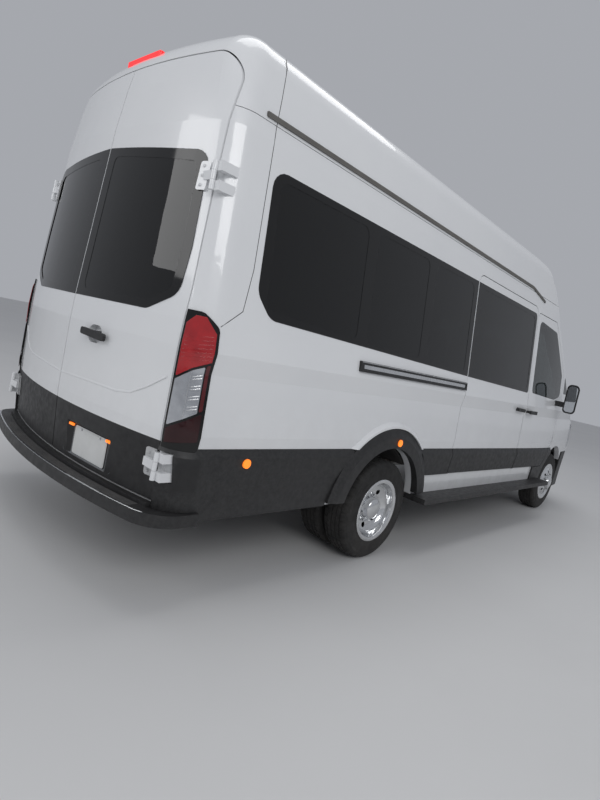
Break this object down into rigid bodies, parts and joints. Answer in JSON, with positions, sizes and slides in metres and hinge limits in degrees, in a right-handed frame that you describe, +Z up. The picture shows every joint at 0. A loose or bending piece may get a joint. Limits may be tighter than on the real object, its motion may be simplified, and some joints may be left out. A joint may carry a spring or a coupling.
{
  "type": "minibus",
  "caption": "High-roof, extended-length passenger minibus with twin rear wheels, hinged rear and front doors, bonnet and steered front wheels.",
  "frame": {"origin": "on the ground at mid-length, on the centreline", "axes": "+X forward, +Y to the left side, +Z up"},
  "size_m": [6.7036, 2.474, 2.765],
  "materials": {
    "white_paint": "gloss",
    "tinted_glass": "tinted",
    "clear_glass": "clear",
    "black_plastic": "grained",
    "red_lens": "clear coloured",
    "clear_lens": "clear",
    "amber_lens": "clear coloured",
    "tyre_rubber": "treaded",
    "chrome": "polished",
    "frame_steel": "satin",
    "cast_metal": "rough",
    "galvanised_steel": "dull",
    "cabin_plastic": "grained",
    "seat_cloth": "woven",
    "underbody": "matte"
  },
  "bodies": {
    "root": {"arch_flares": "black_plastic", "cab_seats": "seat_cloth", "chassis_frame": "frame_steel", "dashboard": "cabin_plastic", "engine_block": "cast_metal", "exhaust_system": "galvanised_steel", "floor_pan": "underbody", "front_bumper": "black_plastic", "front_end": "white_paint", "front_suspension": "frame_steel", "fuel_tank": "underbody", "grille": "black_plastic", "gutter_strips": "black_plastic", "headlamps": "clear_lens", "high_stop_lamp": "red_lens", "marker_lamps": "amber_lens", "passenger_seats": "seat_cloth", "propeller_shaft": "frame_steel", "rear_axle": "cast_metal", "rear_hinge_brackets": "white_paint", "rear_step": "black_plastic", "roof_panel": "white_paint", "running_board": "black_plastic", "seat_stands": "frame_steel", "side_cladding": "black_plastic", "side_glass": "tinted_glass", "side_panel_left": "white_paint", "side_panel_right": "white_paint", "sliding_door": "white_paint", "sliding_door_glass": "tinted_glass", "sliding_door_trim": "black_plastic", "tail_lamps": "red_lens", "windscreen": "clear_glass"},
    "bonnet": {"bonnet": "white_paint"},
    "front_door_left": {"front_door_left": "white_paint", "front_door_trim_left": "black_plastic", "front_glass_left": "clear_glass"},
    "front_door_right": {"front_door_right": "white_paint", "front_door_trim_right": "black_plastic", "front_glass_right": "clear_glass"},
    "front_wheel_left": {"front_rim_left": "chrome", "front_tyre_left": "tyre_rubber"},
    "front_wheel_right": {"front_rim_right": "chrome", "front_tyre_right": "tyre_rubber"},
    "knuckle_left": {"knuckle_left": "cast_metal"},
    "knuckle_right": {"knuckle_right": "cast_metal"},
    "rear_door_left": {"rear_door_left": "white_paint", "rear_glass_left": "tinted_glass", "rear_hinge_leaves_left": "white_paint", "rear_lower_panel_left": "black_plastic"},
    "rear_door_right": {"rear_door_right": "white_paint", "rear_door_trim_right": "black_plastic", "rear_glass_right": "tinted_glass", "rear_hinge_leaves_right": "white_paint", "rear_lower_panel_right": "black_plastic"},
    "rear_wheel_left": {"rear_rims_left": "chrome", "rear_tyres_left": "tyre_rubber"},
    "rear_wheel_right": {"rear_rims_right": "chrome", "rear_tyres_right": "tyre_rubber"}
  },
  "joints": [
    {"name": "bonnet_lift", "type": "hinge", "parent": "root", "child": "bonnet", "pos_m": [2.722, 0, 1.262], "axis": [0, -1, 0], "range_deg": [0, 55]},
    {"name": "front_door_left_swing", "type": "hinge", "parent": "root", "child": "front_door_left", "pos_m": [2.05, 1.008, 1.2], "axis": [0, 0, -1], "range_deg": [0, 68]},
    {"name": "rear_door_left_swing", "type": "hinge", "parent": "root", "child": "rear_door_left", "pos_m": [-3.18, 0.935, 0.687], "axis": [-0.0294, 0.0354, -0.9989], "range_deg": [0, 180]},
    {"name": "steer_left", "type": "hinge", "parent": "root", "child": "knuckle_left", "pos_m": [2.329, 0.79, 0.35], "axis": [0, 0, 1], "range_deg": [-35, 35]},
    {"name": "front_wheel_left_spin", "type": "hinge", "parent": "knuckle_left", "child": "front_wheel_left", "pos_m": [2.329, 0.866, 0.35], "axis": [0, 1, 0], "continuous": true},
    {"name": "rear_wheel_left_spin", "type": "hinge", "parent": "root", "child": "rear_wheel_left", "pos_m": [-1.421, 0.8225, 0.35], "axis": [0, 1, 0], "continuous": true},
    {"name": "front_door_right_swing", "type": "hinge", "parent": "root", "child": "front_door_right", "pos_m": [2.05, -1.008, 1.2], "axis": [0, 0, 1], "range_deg": [0, 68]},
    {"name": "rear_door_right_swing", "type": "hinge", "parent": "root", "child": "rear_door_right", "pos_m": [-3.18, -0.935, 0.687], "axis": [0.0294, 0.0354, 0.9989], "range_deg": [0, 180]},
    {"name": "steer_right", "type": "hinge", "parent": "root", "child": "knuckle_right", "pos_m": [2.329, -0.79, 0.35], "axis": [0, 0, 1], "range_deg": [-35, 35]},
    {"name": "front_wheel_right_spin", "type": "hinge", "parent": "knuckle_right", "child": "front_wheel_right", "pos_m": [2.329, -0.866, 0.35], "axis": [0, 1, 0], "continuous": true},
    {"name": "rear_wheel_right_spin", "type": "hinge", "parent": "root", "child": "rear_wheel_right", "pos_m": [-1.421, -0.8225, 0.35], "axis": [0, 1, 0], "continuous": true}
  ],
  "couplings": [
    {"joint": "steer_right", "follows": "steer_left", "ratio": 1}
  ]
}
